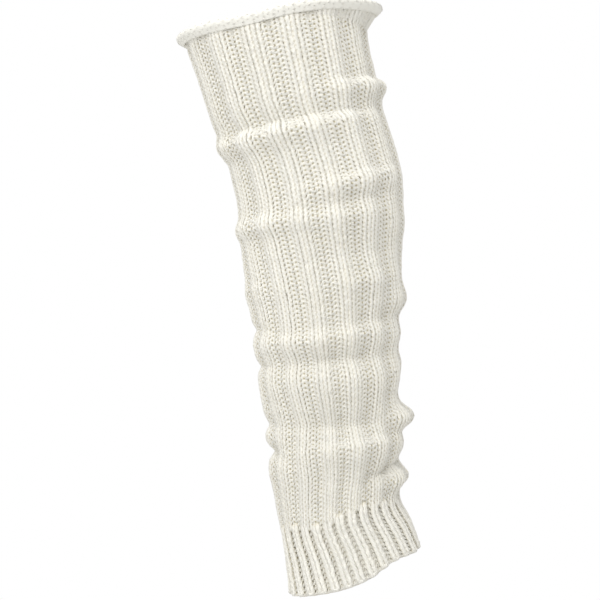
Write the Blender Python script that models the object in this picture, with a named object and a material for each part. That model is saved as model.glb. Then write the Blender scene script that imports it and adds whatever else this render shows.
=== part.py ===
"""One knitted leg warmer, filled out as on a lower leg and leaning as it is worn.

The garment is knitted in the round as one piece with three kinds of fabric, and each is a solid here:
a rolled top edge, a leg tube in wide rib, and an ankle cuff in narrow rib. The tube's slouch folds are
in both faces of its wall, and the ribs are raised on its outer face only.

Frame: +Z up, +X towards the toes, -Y towards the front of the picture. The origin lies on the tube's
axis at the fullest part of the calf, which carries the garment. Sizes are in millimetres up to the
point where a mesh is made, in metres.
"""

import math
from collections import namedtuple

import bpy
import numpy as np

MM = 0.001

# Knitted fabric
WALL = 3.0  # cloth between the ribs
RIBS = 14  # wide ribs round the leg, each two stitches of knit beside two of purl
RIB_RISE = 1.6  # a wide rib above the purl between the ribs
CUFF_RIBS = 28  # narrow ribs round the ankle, one stitch of knit beside one of purl
CUFF_RIB_RISE = 2.2
FIRST_RIB = -16.6  # degrees from the front to the middle of one wide rib
FIRST_CUFF_RIB = FIRST_RIB - 45.0 / RIBS  # a wide rib's left knit stitch runs on as a narrow rib
SHARP_EDGE = 50.0  # degrees between faces that keep a sharp edge
SEAM_GAP = 0.47  # down the leg between two fabrics, at least 0.3 square to a slanting seam
ROW_STEP = 6.4  # height of one row of faces on the leg tube
CUFF_ROW_STEP = 6.4
INNER_SHARE = 2  # outer columns for each inner one

# Rolled top edge
ROLL_RADIUS = 1.9  # middle of the wall, round the curl
FRONT_LEAN = 7.0  # degrees that the flare leans out before it curls, at the front and the back
SIDE_LEAN = 38.0  # the same at both sides
FRONT_TURN = 178.0  # degrees that the wall curls through, at the front and the back
SIDE_TURN = 186.0
ROLL_TAIL = 4.6  # length of the straight end that tucks in under the flare
TAIL_THIN = 0.4  # share of the wall's thickness left at the tail's end
ROLL_BEND = 3.2  # height over which the wall bends out into the flare
ROLL_ARC_STEPS = 5
FLARE_BACK = 7.2  # length of the straight flare on the calf side
FLARE_TOES = 17.0  # the same on the toe side, where the edge stands out most
FLARE_FRONT = 3.0

# Hem
HEM_EASE = 2.4  # height over which the cuff's wall thins to its rounded end
HEM_THIN = 0.45  # share of the wall's thickness left at the very end

# One row for each section of the leg, from the top edge down to the hem. height and across place its
# middle, half_width runs along X and half_depth along Y to the tops of the ribs, tilt raises the toe
# side, pitch raises the front, and turn is how far the ribs have wound round the leg there, towards the
# toes.
Section = namedtuple("Section", "height across half_width half_depth tilt pitch turn")
SECTIONS = (
    Section(114.5, -31.2, 64.9, 62.5, 6.2, 1.4, 0.0),
    Section(97.0, -26.8, 62.9, 61.5, 6.8, 1.0, -0.5),
    Section(84.0, -23.0, 62.2, 60.0, 8.5, 0.5, -1.0),
    Section(63.5, -17.6, 60.8, 58.5, 10.4, 0.0, -1.5),
    Section(45.5, -11.8, 59.9, 57.5, 10.8, 0.0, -1.5),
    Section(29.0, -6.1, 60.0, 57.5, 9.6, 0.0, -1.5),
    Section(8.5, -1.0, 60.0, 57.5, 8.2, 0.0, -1.0),
    Section(-18.5, 0.5, 58.9, 56.0, 7.0, 0.0, 1.0),
    Section(-43.0, 1.6, 57.0, 54.0, 5.8, 0.0, 4.5),
    Section(-66.5, 3.0, 55.0, 51.5, 5.2, 0.0, 7.5),
    Section(-88.5, 4.0, 52.8, 49.5, 4.6, 0.0, 9.0),
    Section(-109.0, 4.9, 51.3, 47.5, 4.0, 0.0, 10.0),
    Section(-131.5, 6.4, 50.4, 46.0, 3.2, 0.0, 11.0),
    Section(-152.0, 8.4, 49.0, 44.5, 2.6, 0.0, 11.5),
    Section(-173.5, 10.0, 47.2, 42.5, 3.0, 0.0, 11.0),
    Section(-193.5, 11.2, 46.2, 41.0, 6.2, -0.5, 10.0),
    Section(-210.0, 12.2, 45.0, 40.5, 10.8, -1.0, 7.0),
    Section(-224.0, 14.3, 44.4, 40.5, 15.2, -2.0, 5.0),
    Section(-243.0, 20.0, 47.6, 42.0, 18.2, -3.0, 8.0),
    Section(-263.5, 24.6, 50.4, 44.5, 20.4, -3.5, 12.0),
)
CUFF_HEIGHT = -224.0

# One row for each wave of the top edge, of the hem and of the line where the cuff begins: facing and
# span as for a fold, and lift is how far the line is raised there. The courses near it follow.
Wave = namedtuple("Wave", "facing span lift")
TOP_WAVES = (
    Wave(-70.0, 46.0, -1.6),
    Wave(-30.0, 44.0, -1.8),
    Wave(16.0, 40.0, 2.6),
    Wave(75.0, 45.0, -3.2),
    Wave(150.0, 52.0, 2.4),
    Wave(-158.0, 40.0, -2.2),
)
HEM_WAVES = (
    Wave(-8.0, 44.0, -1.2),
    Wave(42.0, 34.0, 3.4),
    Wave(178.0, 60.0, -1.6),
)
WAVE_REACH = 26.0  # height over which a wave dies away from its edge
CUFF_WAVES = (
    Wave(24.0, 60.0, 7.5),
    Wave(-52.0, 40.0, 3.0),
)
CUFF_WAVE_REACH = 30.0

# One row for each slouch fold. height is that of the section through its middle, facing is degrees
# from the front towards the toes, span is half its length in degrees, rise is how far it stands out or,
# below zero, sinks in, above and below are its reach up and down the leg, and slant is how much higher
# it lies a quarter turn on towards the toes.
Fold = namedtuple("Fold", "height facing span rise above below slant")
FOLDS = (
    # The side to the front, from the top down
    Fold(68.5, 76.0, 80.0, 6.6, 4.2, 6.5, 1.5),
    Fold(58.5, 44.0, 60.0, 1.0, 5.0, 4.5, 2.0),
    Fold(45.5, -25.0, 125.0, 4.9, 3.8, 9.5, 0.5),
    Fold(50.5, -92.0, 50.0, 2.8, 5.0, 4.5, 0.0),
    Fold(53.0, -20.0, 115.0, -2.8, 9.0, 3.2, 0.5),
    Fold(36.0, -80.0, 56.0, -1.6, 5.0, 7.0, 0.0),
    Fold(7.0, 30.0, 62.0, 3.6, 4.6, 8.0, 7.0),
    Fold(-4.0, 30.0, 54.0, -1.4, 5.0, 4.5, 7.0),
    Fold(-15.0, -58.0, 92.0, 4.2, 5.5, 7.0, 0.0),
    Fold(-16.0, 26.0, 50.0, 2.4, 5.0, 8.0, 4.0),
    Fold(-24.0, 75.0, 60.0, 1.4, 10.0, 9.0, 3.0),
    Fold(-24.0, -70.0, 60.0, -0.4, 4.5, 6.0, 0.0),
    Fold(-41.0, 25.0, 70.0, -2.2, 12.0, 7.0, 4.0),
    Fold(-60.0, 36.0, 56.0, 2.4, 5.0, 9.0, 5.0),
    Fold(-62.0, -78.0, 60.0, 1.8, 6.5, 8.0, 2.0),
    Fold(-75.5, 86.0, 46.0, 5.0, 10.0, 7.0, 3.0),
    Fold(-86.5, 50.0, 64.0, -2.0, 8.0, 4.5, 2.0),
    Fold(-88.5, -86.0, 42.0, -3.0, 4.5, 4.5, 0.0),
    Fold(-98.5, -18.0, 105.0, 3.6, 5.0, 7.5, 2.0),
    Fold(-99.5, 84.0, 50.0, 1.8, 6.0, 6.0, 2.0),
    Fold(-112.5, 6.0, 90.0, -2.6, 6.0, 5.0, 2.0),
    Fold(-115.5, -86.0, 42.0, -3.2, 4.5, 4.5, 0.0),
    Fold(-119.5, 92.0, 46.0, 2.0, 7.0, 7.0, 0.0),
    Fold(-127.0, 10.0, 118.0, 3.0, 7.5, 12.0, -1.0),
    Fold(-140.0, 78.0, 46.0, -1.6, 6.5, 6.0, 0.0),
    Fold(-156.5, 92.0, 52.0, 10.6, 6.5, 7.0, 0.0),
    Fold(-157.5, -88.0, 48.0, -3.0, 5.5, 5.0, 2.0),
    Fold(-157.0, 6.0, 84.0, -4.2, 10.0, 6.0, 0.0),
    Fold(-174.0, 20.0, 92.0, 4.6, 5.0, 13.0, 4.0),
    Fold(-166.5, -82.0, 45.0, 1.6, 6.0, 6.0, 0.0),
    Fold(-176.0, -88.0, 44.0, -4.6, 4.5, 4.5, -2.0),
    Fold(-193.0, 60.0, 52.0, -4.2, 6.0, 5.0, 14.0),
    Fold(-188.5, -70.0, 60.0, 2.2, 8.5, 9.5, 0.0),
    Fold(-176.0, 96.0, 44.0, 2.8, 7.0, 7.0, 0.0),
    Fold(-204.0, 84.0, 44.0, 7.4, 7.6, 7.0, 2.0),
    Fold(-212.0, 2.0, 70.0, -0.6, 7.0, 4.6, -3.0),
    # The side away from it, where the same cloth slouches in the same way
    Fold(78.0, 178.0, 66.0, 4.6, 6.0, 7.5, 3.0),
    Fold(56.0, -164.0, 60.0, 2.6, 8.0, 7.0, -2.0),
    Fold(22.0, 160.0, 74.0, 4.0, 5.5, 8.0, 4.0),
    Fold(9.0, -158.0, 52.0, -1.6, 6.0, 6.0, 0.0),
    Fold(-9.0, -170.0, 58.0, 2.8, 6.0, 8.0, -3.0),
    Fold(-40.0, 170.0, 72.0, 3.6, 5.5, 9.0, 5.0),
    Fold(-69.0, -168.0, 68.0, 3.4, 6.0, 8.0, -4.0),
    Fold(-83.0, 158.0, 50.0, -1.8, 5.5, 5.5, 0.0),
    Fold(-97.0, 176.0, 64.0, 3.2, 5.5, 8.0, 3.0),
    Fold(-124.0, -174.0, 62.0, 4.0, 5.5, 8.0, 5.0),
    Fold(-143.0, 168.0, 58.0, 3.6, 5.5, 7.5, -3.0),
    Fold(-156.0, -160.0, 50.0, -2.2, 5.0, 5.0, 0.0),
    Fold(-169.0, 178.0, 60.0, 4.6, 5.5, 8.0, 3.0),
    Fold(-195.0, -176.0, 62.0, 4.0, 5.5, 8.0, -4.0),
    Fold(-209.0, 170.0, 56.0, -1.6, 6.0, 6.0, 0.0),
)

# Corners of one rib across its pitch: the share of the pitch from its middle, and the share of its rise
RibCorner = namedtuple("RibCorner", "place rise")
RIB_CORNERS = (
    RibCorner(-0.31, 0.0),
    RibCorner(-0.19, 1.0),
    RibCorner(0.19, 1.0),
    RibCorner(0.31, 0.0),
)
CUFF_RIB_CORNERS = (
    RibCorner(-0.42, 0.0),
    RibCorner(-0.27, 1.0),
    RibCorner(0.27, 1.0),
    RibCorner(0.42, 0.0),
)

CREAM = (0.86, 0.83, 0.74, 1.0)
CLOTH_ROUGHNESS = 0.9


def clear_scene():
    """Removes what a new file starts with."""
    for item in list(bpy.data.objects):
        bpy.data.objects.remove(item)


def knit_material(name):
    """The cream yarn in one of its three fabrics, matt and not metallic."""
    material = bpy.data.materials.new(name)
    material.use_nodes = True
    shader = material.node_tree.nodes["Principled BSDF"]
    shader.inputs["Base Color"].default_value = CREAM
    shader.inputs["Roughness"].default_value = CLOTH_ROUGHNESS
    shader.inputs["Metallic"].default_value = 0.0
    return material


def section_column(name, height):
    """One column of SECTIONS at any height, on a smooth curve through its rows."""
    rows = SECTIONS[::-1]
    heights = np.array([row.height for row in rows])
    values = np.array([getattr(row, name) for row in rows])
    slopes = np.gradient(values, heights)
    height = np.clip(height, heights[0], heights[-1])
    below = np.clip(np.searchsorted(heights, height) - 1, 0, len(rows) - 2)
    step = heights[below + 1] - heights[below]
    t = (height - heights[below]) / step
    return (
        values[below] * (1 + 2 * t) * (1 - t) ** 2
        + values[below + 1] * t * t * (3 - 2 * t)
        + slopes[below] * step * t * (1 - t) ** 2
        - slopes[below + 1] * step * t * t * (1 - t)
    )


def window(facing, item):
    """One in the middle of a fold or wave, falling smoothly to zero at the ends of its span."""
    away = (facing - item.facing + 180.0) % 360.0 - 180.0
    return np.where(abs(away) < item.span, np.cos(np.pi / 2 * away / item.span) ** 2, 0.0), away


def edge_lift(facing, height):
    """How far the waves of the top edge and of the hem raise the cloth."""
    total = np.zeros(np.broadcast(facing, height).shape)
    for edge, waves in ((SECTIONS[0].height, TOP_WAVES), (SECTIONS[-1].height, HEM_WAVES)):
        near = np.clip(1 - abs(height - edge) / WAVE_REACH, 0, 1)
        near = near * near * (3 - 2 * near)
        for wave in waves:
            total = total + wave.lift * window(facing, wave)[0] * near
    return total


def follow_cuff(facing, height):
    """Heights moved so that rows near the cuff's top follow its waves."""
    near = np.clip(1 - abs(height - CUFF_HEIGHT) / CUFF_WAVE_REACH, 0, 1)
    near = near * near * (3 - 2 * near)
    return height + near * sum(wave.lift * window(facing, wave)[0] for wave in CUFF_WAVES)


def fold_rise(facing, height):
    """How far the slouch folds move the cloth out at a direction, in degrees, and a section's height."""
    total = np.zeros(np.broadcast(facing, height).shape)
    for fold in FOLDS:
        share, away = window(facing, fold)
        gap = height - fold.height - fold.slant * away / 90.0
        reach = np.where(gap > 0, fold.above, fold.below)
        total = total + fold.rise * share * np.exp(-((gap / reach) ** 2))
    return total


def section_axes(facing, height):
    """The way out of the leg in a section's plane, and the plane's own normal, both as unit vectors."""
    tilt = np.radians(section_column("tilt", height))
    pitch = np.radians(section_column("pitch", height))
    side, back = np.sin(np.radians(facing)), -np.cos(np.radians(facing))
    outward = np.stack(
        [side * np.cos(tilt), back * np.cos(pitch), side * np.sin(tilt) - back * np.sin(pitch)], axis=-1
    )
    normal = np.stack(
        [-np.sin(tilt) * np.cos(pitch), np.cos(tilt) * np.sin(pitch), np.cos(tilt) * np.cos(pitch)],
        axis=-1,
    )
    return outward, normal


def cloth_point(facing, height, inset):
    """A point of the cloth, inset from the tops of the ribs towards the leg."""
    facing, height = np.broadcast_arrays(facing, height)
    width = section_column("half_width", height)
    depth = section_column("half_depth", height)
    turn = np.radians(facing)
    reach = width * depth / np.hypot(depth * np.sin(turn), width * np.cos(turn))
    reach = reach + fold_rise(facing, height) - inset
    middle = np.stack([section_column("across", height), 0 * height, height], axis=-1)
    outward, normal = section_axes(facing, height)
    return middle + reach[..., None] * outward + edge_lift(facing, height)[..., None] * normal


def rib_columns(ribs, first, corners):
    """The directions of the columns of faces round the leg, before the ribs wind, and each one's rise."""
    pitch = 360.0 / ribs
    places = [first + (rib + corner.place) * pitch for rib in range(ribs) for corner in corners]
    rises = [corner.rise for _ in range(ribs) for corner in corners]
    return np.array(places), np.array(rises)


def grid_faces(rows, columns, first):
    """Quads between the rows of a closed grid whose points start at index first."""
    faces = []
    for row in range(rows - 1):
        for column in range(columns):
            after = (column + 1) % columns
            here, above = first + row * columns, first + (row + 1) * columns
            faces.append((here + column, here + after, above + after, above + column))
    return faces


def rim_faces(outer, inner, count):
    """Triangles between an outer ring and an inner ring with half as many points."""
    faces = []
    for column in range(count):
        left, middle = outer + 2 * column, outer + 2 * column + 1
        right = outer + (2 * column + 2) % (2 * count)
        near, far = inner + column, inner + (column + 1) % count
        faces += [(left, middle, near), (middle, far, near), (middle, right, far)]
    return faces


def solid(name, points, faces, collection):
    """A named object with its faces pointing out, smooth across the cloth and sharp at its edges."""
    mesh = bpy.data.meshes.new(name)
    mesh.from_pydata([tuple(point) for point in np.asarray(points) * MM], [], faces)
    mesh.materials.append(knit_material(name + "_knit"))
    mesh.shade_smooth()
    mesh.set_sharp_from_angle(angle=math.radians(SHARP_EDGE))
    item = bpy.data.objects.new(name, mesh)
    collection.objects.link(item)
    return item


def ribbed_tube(name, heights, columns_and_rises, rise, ease, collection):
    """A stretch of the leg: ribs raised on the outer face, a plain inner face, and a flat end at each
    end. ease is the share of the wall's thickness at each height."""
    places, rises = columns_and_rises
    turn = section_column("turn", heights)
    facing = places[None, :] + turn[:, None]
    level = follow_cuff(facing, heights[:, None])
    middle = rise + WALL / 2
    spread = ease[:, None] * (WALL / 2 + rise * rises[None, :])
    outer = cloth_point(facing, level, middle - spread)
    inside = slice(None, None, INNER_SHARE)
    inner = cloth_point(
        facing[:, inside], level[:, inside], middle + ease[:, None] * WALL / 2
    )
    rows, columns, inner_columns = len(heights), len(places), inner.shape[1]
    start = rows * columns
    faces = [face[::-1] for face in grid_faces(rows, columns, 0)]
    faces += grid_faces(rows, inner_columns, start)
    faces += rim_faces(0, start, inner_columns)
    last_outer, last_inner = (rows - 1) * columns, start + (rows - 1) * inner_columns
    faces += [face[::-1] for face in rim_faces(last_outer, last_inner, inner_columns)]
    points = np.concatenate([outer.reshape(-1, 3), inner.reshape(-1, 3)])
    return solid(name, points, faces, collection)


def flare_length(toes):
    """Length of the straight flare below the roll, by the sine of its facing: longest at the toe side."""
    side = FLARE_TOES if toes > 0 else FLARE_BACK
    return FLARE_FRONT + (side - FLARE_FRONT) * toes**2


def roll_line(facing):
    """The rolled edge's middle line in one upright plane, as (out, up, lean) rows. It bends out, runs
    straight along the flare, curls outwards and down at one radius, and ends in a short tail."""
    toes = math.sin(math.radians(facing))
    flare = flare_length(toes)
    lean = math.radians(FRONT_LEAN + (SIDE_LEAN - FRONT_LEAN) * toes**2)
    end = lean + math.radians(FRONT_TURN + (SIDE_TURN - FRONT_TURN) * toes**2)
    out, up = 0.0, SEAM_GAP
    rows = [(out, up, 0.0)]
    half = ROLL_BEND / 2
    out, up = out + half * math.sin(lean / 4), up + half * math.cos(lean / 4)
    rows.append((out, up, lean / 2))
    out, up = out + half * math.sin(lean * 3 / 4), up + half * math.cos(lean * 3 / 4)
    rows.append((out, up, lean))
    out, up = out + flare * math.sin(lean), up + flare * math.cos(lean)
    centre_out, centre_up = out + ROLL_RADIUS * math.cos(lean), up - ROLL_RADIUS * math.sin(lean)
    for angle in np.linspace(lean, end, ROLL_ARC_STEPS + 1):
        out = centre_out - ROLL_RADIUS * math.cos(angle)
        up = centre_up + ROLL_RADIUS * math.sin(angle)
        rows.append((out, up, angle))
    rows.append((out + ROLL_TAIL * math.sin(end), up + ROLL_TAIL * math.cos(end), end))
    return np.array(rows)


def rolled_edge(name, collection):
    """The top edge: the leg's wall runs on, flares out and curls over. The ribs fade along the flare."""
    top = SECTIONS[0].height
    places, rises = rib_columns(RIBS, FIRST_RIB, RIB_CORNERS)
    rings = []
    for place, rib in zip(places, rises):
        line = roll_line(place)
        half = np.full(len(line), WALL / 2)
        half[-1] *= TAIL_THIN
        fade = np.clip(1 - (line[:, 1] - SEAM_GAP) / (2 * ROLL_BEND), 0, 1)
        fade[ROLL_ARC_STEPS:] = 0
        across = np.stack([np.cos(line[:, 2]), -np.sin(line[:, 2])], axis=1)
        outer = line[:, :2] + across * (half + RIB_RISE * rib * fade)[:, None]
        inner = line[:, :2] - across * half[:, None]
        profile = np.concatenate([outer, inner[::-1]])
        base = cloth_point(place, top, RIB_RISE + WALL / 2)
        outward, normal = section_axes(place, top)
        rings.append(base + profile[:, :1] * outward + profile[:, 1:] * normal)
    around, columns = rings[0].shape[0], len(rings)
    faces = []
    for column in range(columns):
        here, there = column * around, (column + 1) % columns * around
        for point in range(around):
            after = (point + 1) % around
            faces.append((here + point, there + point, there + after, here + after))
    return solid(name, np.concatenate(rings), faces, collection)


def even_heights(top, bottom, step):
    """Heights from top to bottom, about a step apart."""
    return np.linspace(top, bottom, round((top - bottom) / step) + 1)


def cuff_heights():
    """The cuff's rows, with a few more where its wall rounds over at the hem."""
    hem = SECTIONS[-1].height
    rows = even_heights(CUFF_HEIGHT - SEAM_GAP, hem + HEM_EASE, CUFF_ROW_STEP)
    return np.concatenate([rows, [hem + HEM_EASE / 3, hem]])


def hem_ease(heights):
    """Full thickness down the cuff, thinning over the last stretch like a quarter circle."""
    near = np.clip((heights - SECTIONS[-1].height) / HEM_EASE, 0, 1)
    return HEM_THIN + (1 - HEM_THIN) * np.sqrt(1 - (1 - near) ** 2)


def build():
    """The three fabrics of the leg warmer."""
    clear_scene()
    collection = bpy.data.collections.new("leg_warmer")
    bpy.context.scene.collection.children.link(collection)
    tube = even_heights(SECTIONS[0].height, CUFF_HEIGHT, ROW_STEP)
    cuff = cuff_heights()
    wide_ribs = rib_columns(RIBS, FIRST_RIB, RIB_CORNERS)
    narrow_ribs = rib_columns(CUFF_RIBS, FIRST_CUFF_RIB, CUFF_RIB_CORNERS)
    rolled_edge("rolled_top_edge", collection)
    ribbed_tube("leg_tube", tube, wide_ribs, RIB_RISE, np.ones(len(tube)), collection)
    ribbed_tube("ankle_cuff", cuff, narrow_ribs, CUFF_RIB_RISE, hem_ease(cuff), collection)


build()
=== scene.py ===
"""A leg warmer in chunky rib knit, filled out as on a lower leg, with every stitch of it modelled.

It is knitted in the round in cream yarn. An ankle cuff in narrow rib flares over the instep, a leg tube
in wide rib slouches into folds, and a plain knit edge rolls outwards at the top. The stitches run over
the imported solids' own form: the same sections, folds and edge waves, in the same frame.

+Z is up, +X is towards the toes and -Y is towards the front of the picture. Lengths are in millimetres
until a mesh is made. Places on the cloth are given by wale, a column of stitches counted round the leg,
and by course, a row of stitches counted up from the hem.
"""

from __future__ import annotations

import logging
import math
from dataclasses import dataclass, field
from enum import Enum
from typing import NamedTuple

import bpy
import numpy as np
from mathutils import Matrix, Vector
from numpy.typing import NDArray

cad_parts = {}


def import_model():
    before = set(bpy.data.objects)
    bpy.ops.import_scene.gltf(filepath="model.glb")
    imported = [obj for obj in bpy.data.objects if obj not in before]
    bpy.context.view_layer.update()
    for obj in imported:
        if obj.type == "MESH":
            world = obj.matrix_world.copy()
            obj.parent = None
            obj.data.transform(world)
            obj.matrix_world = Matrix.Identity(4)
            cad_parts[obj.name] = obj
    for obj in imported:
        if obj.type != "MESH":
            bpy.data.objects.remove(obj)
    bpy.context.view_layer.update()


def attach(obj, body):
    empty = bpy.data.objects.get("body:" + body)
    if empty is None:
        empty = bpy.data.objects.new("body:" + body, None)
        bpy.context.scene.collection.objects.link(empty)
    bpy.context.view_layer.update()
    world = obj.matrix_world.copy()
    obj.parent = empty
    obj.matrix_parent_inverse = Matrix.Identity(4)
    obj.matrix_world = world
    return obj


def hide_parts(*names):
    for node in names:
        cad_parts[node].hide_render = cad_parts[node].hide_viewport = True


log = logging.getLogger("leg_warmer")

Floats = NDArray[np.float64]
Colour = tuple[float, float, float]

MM = 0.001
WHITE = (1.0, 1.0, 1.0, 1.0)
BODY = "root"

WALES = 56  # stitches round the leg
FIRST_RIB = -16.6  # degrees from the front to the middle of one wide rib
KNIT_EDGE = 2.5  # how sharply knit turns to purl between two wales
NARROW_GATHER = 0.08  # of a wale, by which the narrow rib's knit wales spread
WIDE_RELIEF = (-0.1, 0.8)  # height of the ribs' middle, and half of what they stand up
NARROW_RELIEF = (-0.7, 1.35)


class Section(NamedTuple):
    """A section of the leg, to the tops of the ribs.

    tilt raises the toe side and pitch the front, in degrees. turn is how far the ribs have wound round
    the leg, in degrees towards the toes.
    """

    height: float
    across: float
    half_width: float
    half_depth: float
    tilt: float
    pitch: float
    turn: float


class Fold(NamedTuple):
    """A slouch fold lying round part of the leg.

    facing is degrees from the front towards the toes, and span is half its length in degrees. rise is
    how far it stands out or, below zero, sinks in. above and below are its reach up and down the leg,
    and slant is how much higher it lies a quarter turn on towards the toes.
    """

    height: float
    facing: float
    span: float
    rise: float
    above: float
    below: float
    slant: float


class Wave(NamedTuple):
    """A stretch of the top edge, the hem or the cuff's top, raised by lift or, below zero, lowered."""

    facing: float
    span: float
    lift: float


SECTIONS = (
    Section(114.5, -31.2, 64.9, 62.5, 6.2, 1.4, 0.0),
    Section(97.0, -26.8, 62.9, 61.5, 6.8, 1.0, -0.5),
    Section(84.0, -23.0, 62.2, 60.0, 8.5, 0.5, -1.0),
    Section(63.5, -17.6, 60.8, 58.5, 10.4, 0.0, -1.5),
    Section(45.5, -11.8, 59.9, 57.5, 10.8, 0.0, -1.5),
    Section(29.0, -6.1, 60.0, 57.5, 9.6, 0.0, -1.5),
    Section(8.5, -1.0, 60.0, 57.5, 8.2, 0.0, -1.0),
    Section(-18.5, 0.5, 58.9, 56.0, 7.0, 0.0, 1.0),
    Section(-43.0, 1.6, 57.0, 54.0, 5.8, 0.0, 4.5),
    Section(-66.5, 3.0, 55.0, 51.5, 5.2, 0.0, 7.5),
    Section(-88.5, 4.0, 52.8, 49.5, 4.6, 0.0, 9.0),
    Section(-109.0, 4.9, 51.3, 47.5, 4.0, 0.0, 10.0),
    Section(-131.5, 6.4, 50.4, 46.0, 3.2, 0.0, 11.0),
    Section(-152.0, 8.4, 49.0, 44.5, 2.6, 0.0, 11.5),
    Section(-173.5, 10.0, 47.2, 42.5, 3.0, 0.0, 11.0),
    Section(-193.5, 11.2, 46.2, 41.0, 6.2, -0.5, 10.0),
    Section(-210.0, 12.2, 45.0, 40.5, 10.8, -1.0, 7.0),
    Section(-224.0, 14.3, 44.4, 40.5, 15.2, -2.0, 5.0),
    Section(-243.0, 20.0, 47.6, 42.0, 18.2, -3.0, 8.0),
    Section(-263.5, 24.6, 50.4, 44.5, 20.4, -3.5, 12.0),
)
CUFF_HEIGHT = -224.0

FOLDS = (
    Fold(68.5, 76.0, 80.0, 6.6, 4.2, 6.5, 1.5),
    Fold(58.5, 44.0, 60.0, 1.0, 5.0, 4.5, 2.0),
    Fold(45.5, -25.0, 125.0, 4.9, 3.8, 9.5, 0.5),
    Fold(50.5, -92.0, 50.0, 2.8, 5.0, 4.5, 0.0),
    Fold(53.0, -20.0, 115.0, -2.8, 9.0, 3.2, 0.5),
    Fold(36.0, -80.0, 56.0, -1.6, 5.0, 7.0, 0.0),
    Fold(7.0, 30.0, 62.0, 3.6, 4.6, 8.0, 7.0),
    Fold(-4.0, 30.0, 54.0, -1.4, 5.0, 4.5, 7.0),
    Fold(-15.0, -58.0, 92.0, 4.2, 5.5, 7.0, 0.0),
    Fold(-16.0, 26.0, 50.0, 2.4, 5.0, 8.0, 4.0),
    Fold(-24.0, 75.0, 60.0, 1.4, 10.0, 9.0, 3.0),
    Fold(-24.0, -70.0, 60.0, -0.4, 4.5, 6.0, 0.0),
    Fold(-41.0, 25.0, 70.0, -2.2, 12.0, 7.0, 4.0),
    Fold(-60.0, 36.0, 56.0, 2.4, 5.0, 9.0, 5.0),
    Fold(-62.0, -78.0, 60.0, 1.8, 6.5, 8.0, 2.0),
    Fold(-75.5, 86.0, 46.0, 5.0, 10.0, 7.0, 3.0),
    Fold(-86.5, 50.0, 64.0, -2.0, 8.0, 4.5, 2.0),
    Fold(-88.5, -86.0, 42.0, -3.0, 4.5, 4.5, 0.0),
    Fold(-98.5, -18.0, 105.0, 3.6, 5.0, 7.5, 2.0),
    Fold(-99.5, 84.0, 50.0, 1.8, 6.0, 6.0, 2.0),
    Fold(-112.5, 6.0, 90.0, -2.6, 6.0, 5.0, 2.0),
    Fold(-115.5, -86.0, 42.0, -3.2, 4.5, 4.5, 0.0),
    Fold(-119.5, 92.0, 46.0, 2.0, 7.0, 7.0, 0.0),
    Fold(-127.0, 10.0, 118.0, 3.0, 7.5, 12.0, -1.0),
    Fold(-140.0, 78.0, 46.0, -1.6, 6.5, 6.0, 0.0),
    Fold(-156.5, 92.0, 52.0, 10.6, 6.5, 7.0, 0.0),
    Fold(-157.5, -88.0, 48.0, -3.0, 5.5, 5.0, 2.0),
    Fold(-157.0, 6.0, 84.0, -4.2, 10.0, 6.0, 0.0),
    Fold(-174.0, 20.0, 92.0, 4.6, 5.0, 13.0, 4.0),
    Fold(-166.5, -82.0, 45.0, 1.6, 6.0, 6.0, 0.0),
    Fold(-176.0, -88.0, 44.0, -4.6, 4.5, 4.5, -2.0),
    Fold(-193.0, 60.0, 52.0, -4.2, 6.0, 5.0, 14.0),
    Fold(-188.5, -70.0, 60.0, 2.2, 8.5, 9.5, 0.0),
    Fold(-176.0, 96.0, 44.0, 2.8, 7.0, 7.0, 0.0),
    Fold(-204.0, 84.0, 44.0, 7.4, 7.6, 7.0, 2.0),
    Fold(-212.0, 2.0, 70.0, -0.6, 7.0, 4.6, -3.0),
    Fold(78.0, 178.0, 66.0, 4.6, 6.0, 7.5, 3.0),
    Fold(56.0, -164.0, 60.0, 2.6, 8.0, 7.0, -2.0),
    Fold(22.0, 160.0, 74.0, 4.0, 5.5, 8.0, 4.0),
    Fold(9.0, -158.0, 52.0, -1.6, 6.0, 6.0, 0.0),
    Fold(-9.0, -170.0, 58.0, 2.8, 6.0, 8.0, -3.0),
    Fold(-40.0, 170.0, 72.0, 3.6, 5.5, 9.0, 5.0),
    Fold(-69.0, -168.0, 68.0, 3.4, 6.0, 8.0, -4.0),
    Fold(-83.0, 158.0, 50.0, -1.8, 5.5, 5.5, 0.0),
    Fold(-97.0, 176.0, 64.0, 3.2, 5.5, 8.0, 3.0),
    Fold(-124.0, -174.0, 62.0, 4.0, 5.5, 8.0, 5.0),
    Fold(-143.0, 168.0, 58.0, 3.6, 5.5, 7.5, -3.0),
    Fold(-156.0, -160.0, 50.0, -2.2, 5.0, 5.0, 0.0),
    Fold(-169.0, 178.0, 60.0, 4.6, 5.5, 8.0, 3.0),
    Fold(-195.0, -176.0, 62.0, 4.0, 5.5, 8.0, -4.0),
    Fold(-209.0, 170.0, 56.0, -1.6, 6.0, 6.0, 0.0),
)

TOP_WAVES = (
    Wave(-70.0, 46.0, -1.6),
    Wave(-30.0, 44.0, -1.8),
    Wave(16.0, 40.0, 2.6),
    Wave(75.0, 45.0, -3.2),
    Wave(150.0, 52.0, 2.4),
    Wave(-158.0, 40.0, -2.2),
)
HEM_WAVES = (
    Wave(-8.0, 44.0, -1.2),
    Wave(42.0, 34.0, 3.4),
    Wave(178.0, 60.0, -1.6),
)
CUFF_WAVES = (
    Wave(24.0, 60.0, 7.5),
    Wave(-52.0, 40.0, 3.0),
)


def eased(share: Floats) -> Floats:
    """A smooth step from 0 to 1: three times the square less twice the cube."""
    share = np.clip(share, 0.0, 1.0)
    return share * share * (3.0 - 2.0 * share)


def unit(vectors: Floats) -> Floats:
    """Vectors of the last axis, scaled to length one."""
    return vectors / np.linalg.norm(vectors, axis=-1, keepdims=True)


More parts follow.
